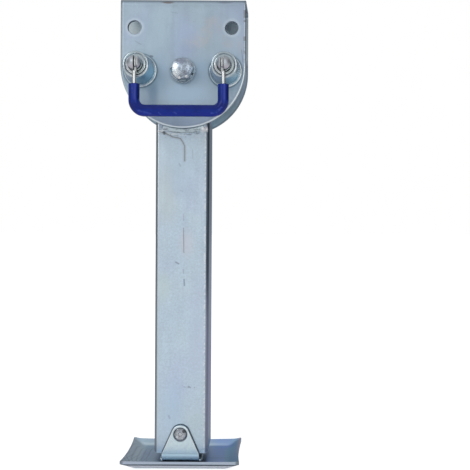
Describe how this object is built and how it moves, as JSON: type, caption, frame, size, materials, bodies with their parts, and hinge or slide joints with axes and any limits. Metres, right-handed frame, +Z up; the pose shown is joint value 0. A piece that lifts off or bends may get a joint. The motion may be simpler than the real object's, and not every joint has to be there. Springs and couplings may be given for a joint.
{
  "type": "camper stabilizer jack",
  "caption": "Fixed-length drop-down stabilizer leg: folded head bracket, spring lock pins joined by a pull handle, swinging square tube and tilting foot.",
  "frame": {"origin": "centre of the head bracket's top face", "axes": "+Z up along the leg towards the camper's frame, -Y towards the side with the lock pins and the pull handle, X across the bracket"},
  "size_m": [0.12, 0.1325, 0.4382],
  "materials": {
    "zinc_plate": "bright zinc plating with a bluish passivate, satin",
    "zinc_tube": "bright zinc plating on drawn square tube, satin",
    "zinc_foot": "zinc plating with blue and violet tints",
    "zinc_clevis": "zinc plating, satin",
    "zinc_bright": "bright zinc plating on deep-drawn steel, glossy",
    "zinc_fastener": "zinc-plated fastener",
    "zinc_pin": "turned steel, zinc plated",
    "zinc_weld": "rippled weld bead under zinc plating",
    "spring_steel": "spring wire",
    "handle_wire": "bright drawn wire",
    "blue_vinyl": "dipped blue vinyl, glossy",
    "nylon": "nylon ring"
  },
  "bodies": {
    "head": {"head_bracket": "zinc_plate", "left_pin_housing": "zinc_bright", "right_pin_housing": "zinc_bright", "left_guide_washer": "zinc_bright", "right_guide_washer": "zinc_bright", "pivot_bolt": "zinc_fastener", "pivot_front_washer": "zinc_fastener", "pivot_spring_washer": "zinc_fastener", "pivot_washer": "zinc_fastener", "pivot_lock_nut": "zinc_fastener", "lock_nut_insert": "nylon"},
    "left_lock": {"left_lock_pin": "zinc_pin", "left_spring_seat": "zinc_pin", "left_handle_rivet": "zinc_pin", "left_lock_spring": "spring_steel"},
    "right_lock": {"right_lock_pin": "zinc_pin", "right_spring_seat": "zinc_pin", "right_handle_rivet": "zinc_pin", "right_lock_spring": "spring_steel"},
    "handle": {"handle_rod": "handle_wire", "handle_grip": "blue_vinyl"},
    "leg": {"leg_tube": "zinc_tube", "front_cheek_plate": "zinc_plate", "rear_cheek_plate": "zinc_plate", "front_cheek_weld": "zinc_weld", "rear_cheek_weld": "zinc_weld", "pivot_sleeve": "zinc_tube"},
    "foot": {"foot_plate": "zinc_foot", "foot_clevis": "zinc_clevis", "foot_pin": "zinc_pin", "foot_clevis_weld": "zinc_weld"}
  },
  "joints": [
    {"name": "leg_swing", "type": "hinge", "parent": "head", "child": "leg", "pos_m": [0, 0, -0.0673], "axis": [0, 1, 0], "range_deg": [-90, 90]},
    {"name": "foot_tilt", "type": "hinge", "parent": "leg", "child": "foot", "pos_m": [-0.001, 0, -0.4088], "axis": [0, 1, 0], "range_deg": [-7.5, 7.5]},
    {"name": "left_lock_pull", "type": "slide", "parent": "head", "child": "left_lock", "axis": [0, -1, 0], "range_m": [-0.0055, 0.0025], "stiffness_N_per_m": 900, "springref_m": -0.02, "deforming": ["left_lock_spring"]},
    {"name": "right_lock_pull", "type": "slide", "parent": "head", "child": "right_lock", "axis": [0, -1, 0], "range_m": [-0.0055, 0.0025], "stiffness_N_per_m": 900, "springref_m": -0.02, "deforming": ["right_lock_spring"]},
    {"name": "handle_swing", "type": "hinge", "parent": "left_lock", "child": "handle", "pos_m": [0, -0.076, -0.0673], "axis": [-1, 0, 0], "range_deg": [0, 180]}
  ],
  "couplings": [
    {"joint": "right_lock_pull", "follows": "left_lock_pull", "ratio": 1}
  ]
}
